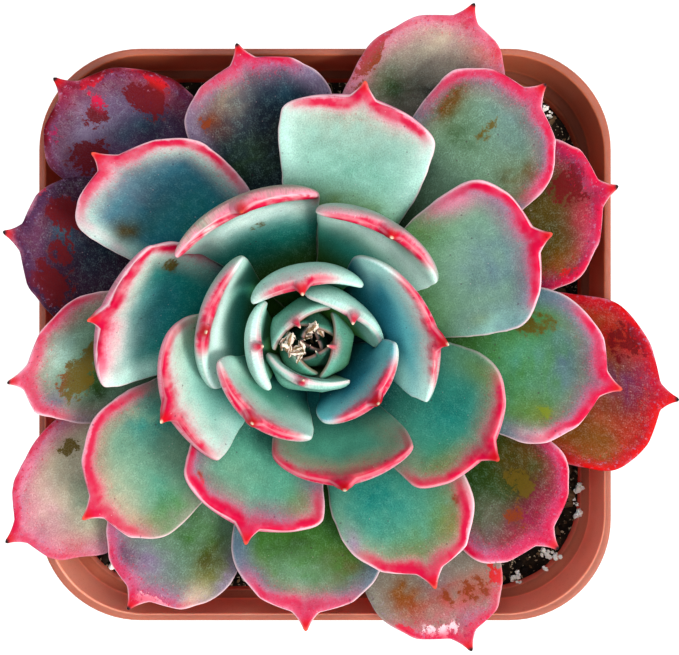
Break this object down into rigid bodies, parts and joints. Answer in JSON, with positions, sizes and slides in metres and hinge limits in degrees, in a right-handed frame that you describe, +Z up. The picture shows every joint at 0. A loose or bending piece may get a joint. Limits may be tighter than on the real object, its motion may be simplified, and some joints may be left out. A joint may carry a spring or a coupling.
{
  "type": "potted echeveria",
  "caption": "Rosette of fleshy, pointed, red-edged leaves spiralling round a short stem, rooted in gritty soil in a square tapered plastic nursery pot.",
  "frame": {"origin": "middle of the pot's underside, on the surface it stands on", "axes": "+Z up through the pot's open top; -Y is the front, the picture's bottom edge; +X is the picture's right"},
  "size_m": [0.1035, 0.0996, 0.1085],
  "materials": {
    "pot": "satin",
    "soil": "matte",
    "stem": "matte",
    "leaf_young": "satin",
    "leaf_middle": "satin",
    "leaf_old": "satin"
  },
  "bodies": {
    "root": {"pot": "pot", "soil": "soil", "stem": "stem", "heart": "leaf_young", "leaf_01": "leaf_young", "leaf_02": "leaf_young", "leaf_03": "leaf_young", "leaf_04": "leaf_young", "leaf_05": "leaf_young", "leaf_06": "leaf_young", "leaf_07": "leaf_young", "leaf_08": "leaf_young", "leaf_09": "leaf_young", "leaf_10": "leaf_young", "leaf_11": "leaf_young", "leaf_12": "leaf_middle", "leaf_13": "leaf_middle", "leaf_14": "leaf_middle", "leaf_15": "leaf_middle", "leaf_16": "leaf_middle", "leaf_17": "leaf_middle", "leaf_18": "leaf_middle", "leaf_19": "leaf_middle", "leaf_20": "leaf_middle", "leaf_21": "leaf_middle", "leaf_22": "leaf_middle", "leaf_23": "leaf_old", "leaf_24": "leaf_old", "leaf_25": "leaf_old", "leaf_26": "leaf_old", "leaf_27": "leaf_old", "leaf_28": "leaf_old", "leaf_29": "leaf_old", "leaf_30": "leaf_old", "leaf_31": "leaf_old", "leaf_32": "leaf_old", "leaf_33": "leaf_old", "leaf_34": "leaf_old"}
  },
  "joints": []
}
